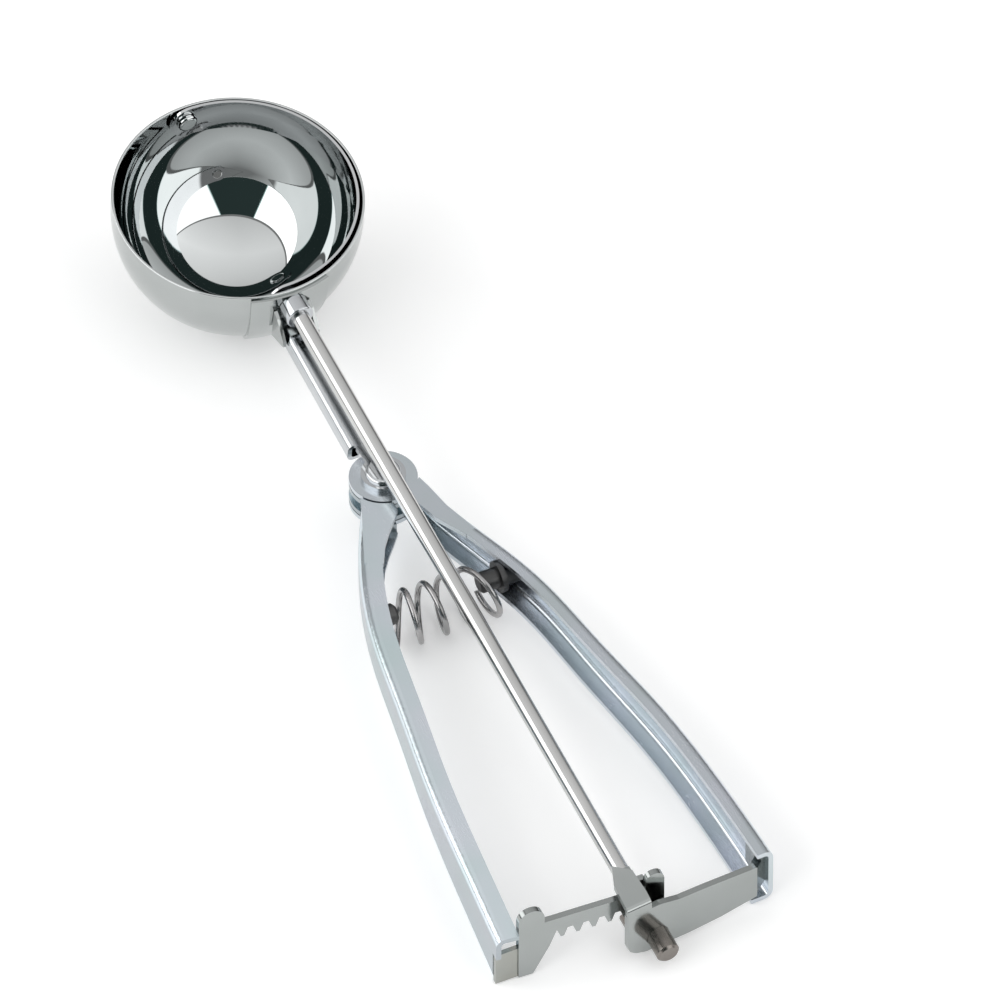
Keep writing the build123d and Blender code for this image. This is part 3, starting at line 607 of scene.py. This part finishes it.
# ---- studio -------------------------------------------------------------------------------
def squared_share(tree, first, second, first_part, second_part, radius):
    """A length along a turned axis as a share of the radius, squared.

    The length is first_part of the first coordinate plus second_part of the second.
    """
    share = calculated(
        tree, "ADD",
        calculated(tree, "MULTIPLY", first, first_part / radius),
        calculated(tree, "MULTIPLY", second, second_part / radius),
    )
    return calculated(tree, "MULTIPLY", share, share)


def laid_over(tree, under, cover, level):
    """A brightness, with another one laid over it where cover is 1."""
    mix = node(tree, "ShaderNodeMix", data_type="FLOAT")
    feed(tree, cover, mix.inputs["Factor"])
    feed(tree, under, mix.inputs["A"])
    feed(tree, level, mix.inputs["B"])
    return mix.outputs["Result"]


def studio():
    """A white tent: an oval light overhead, bright side walls, a dimmer wall at the far
    side and a dark gap where the camera stands.

    A direction is read as its height, its turn round from the camera, and the place where
    it meets a ceiling one unit up: near and right, each divided by the height. The turn's
    cosine is near divided by the length of the direction's level part, the square root of
    one less the height squared.
    """
    world = bpy.data.worlds.new("studio")
    bpy.context.scene.world = world
    world.use_nodes = True
    tree = world.node_tree
    tree.nodes.clear()
    output = tree.nodes.new("ShaderNodeOutputWorld")
    background = tree.nodes.new("ShaderNodeBackground")
    tree.links.new(background.outputs["Background"], output.inputs["Surface"])
    direction = node(tree, "ShaderNodeTexCoord").outputs["Generated"]
    height = vector_result(tree, "DOT_PRODUCT", direction, UP)["Value"]
    near = vector_result(tree, "DOT_PRODUCT", direction, TO_CAMERA)["Value"]
    right = vector_result(tree, "DOT_PRODUCT", direction, TO_RIGHT)["Value"]
    outward = calculated(tree, "SQRT", calculated(
        tree, "SUBTRACT", OVER_ONE, calculated(tree, "MULTIPLY", height, height),
    ))
    facing = calculated(tree, "DIVIDE", near, outward)
    above = calculated(tree, "MAXIMUM", height, LOWEST_CEILING)
    ceiling_near = calculated(tree, "DIVIDE", near, above)
    ceiling_right = calculated(tree, "DIVIDE", right, above)
    from_oval_right = calculated(tree, "SUBTRACT", ceiling_right, OVAL_CENTRE[0])
    from_oval_near = calculated(tree, "SUBTRACT", ceiling_near, OVAL_CENTRE[1])
    oval = calculated(
        tree, "ADD",
        squared_share(
            tree, from_oval_right, from_oval_near, math.cos(OVAL_TURN),
            math.sin(OVAL_TURN), OVAL_RADII[0],
        ),
        squared_share(
            tree, from_oval_near, from_oval_right, math.cos(OVAL_TURN),
            -math.sin(OVAL_TURN), OVAL_RADII[1],
        ),
    )
    # side walls, the left one brighter, and the far wall between them
    left_side = soft_step(tree, right, (SIDE_BLUR, -SIDE_BLUR))
    brightness = laid_over(tree, RIGHT_WALL_LIGHT, left_side, LEFT_WALL_LIGHT)
    far = soft_step(tree, facing, (FAR_WALL_EDGE + FAR_WALL_BLUR, FAR_WALL_EDGE - FAR_WALL_BLUR))
    brightness = laid_over(tree, brightness, far, FAR_WALL_LIGHT)
    # the tent ends low down, lower on the left
    right_foot = soft_step(tree, height, RIGHT_TENT_FOOT)
    left_foot = soft_step(tree, height, LEFT_TENT_FOOT)
    low = laid_over(tree, right_foot, left_side, left_foot)
    brightness = laid_over(tree, brightness, low, LOW_WALL_LIGHT)
    # dark gap at the camera, wider low down
    slanted = calculated(tree, "SUBTRACT", facing, calculated(tree, "MULTIPLY", height, GAP_SLANT))
    gap = soft_step(tree, slanted, (GAP_EDGE - GAP_BLUR, GAP_EDGE + GAP_BLUR))
    brightness = laid_over(tree, brightness, gap, GAP_LIGHT)
    # overhead light: it fades with the distance nearer or farther, brightens to the right,
    # and is never under the far wall's brightness
    overhead = calculated(
        tree, "SUBTRACT", OVERHEAD_LIGHT,
        calculated(tree, "MULTIPLY", calculated(tree, "ABSOLUTE", ceiling_near), OVERHEAD_FADE),
    )
    overhead = calculated(
        tree, "ADD", overhead,
        calculated(
            tree, "MULTIPLY", calculated(tree, "MAXIMUM", ceiling_right, 0.0), OVERHEAD_RISE,
        ),
    )
    overhead = calculated(tree, "MAXIMUM", overhead, FAR_WALL_LIGHT)
    frame_line = soft_step(tree, oval, FRAME_EDGE)
    brightness = laid_over(tree, brightness, frame_line, FRAME_LIGHT)
    brightness = laid_over(tree, brightness, soft_step(tree, oval, OVAL_EDGE), overhead)
    tree.links.new(brightness, background.inputs["Strength"])
    # the gap's tint shows only where neither the oval nor its frame covers the gap
    shown_gap = laid_over(tree, gap, frame_line, 0.0)
    tree.links.new(tinted(tree, shown_gap, WHITE, GAP_TINT), background.inputs["Color"])


studio()


# ---- camera -------------------------------------------------------------------------------
def long_lens():
    """A long lens far away, so that the tool is drawn almost without perspective.

    The lens is the sensor's width times the pixels per metre times the distance, divided by
    the image's width in pixels.
    """
    data = bpy.data.cameras.new("camera")
    data.sensor_width = SENSOR_WIDTH
    data.lens = SENSOR_WIDTH * PIXELS_PER_METRE * CAMERA_DISTANCE / IMAGE_SIZE
    data.clip_start = NEAREST_SEEN
    data.clip_end = FARTHEST_SEEN
    camera = bpy.data.objects.new("camera", data)
    back = Vector((
        TO_CAMERA[0] * math.cos(CAMERA_ELEVATION),
        TO_CAMERA[1] * math.cos(CAMERA_ELEVATION),
        math.sin(CAMERA_ELEVATION),
    ))
    camera.location = Vector(AIM_POINT) + back * CAMERA_DISTANCE
    camera.rotation_euler = (-back).to_track_quat("-Z", "Y").to_euler()
    bpy.context.scene.collection.objects.link(camera)
    bpy.context.scene.camera = camera


long_lens()
bpy.context.scene.view_settings.view_transform = "Standard"
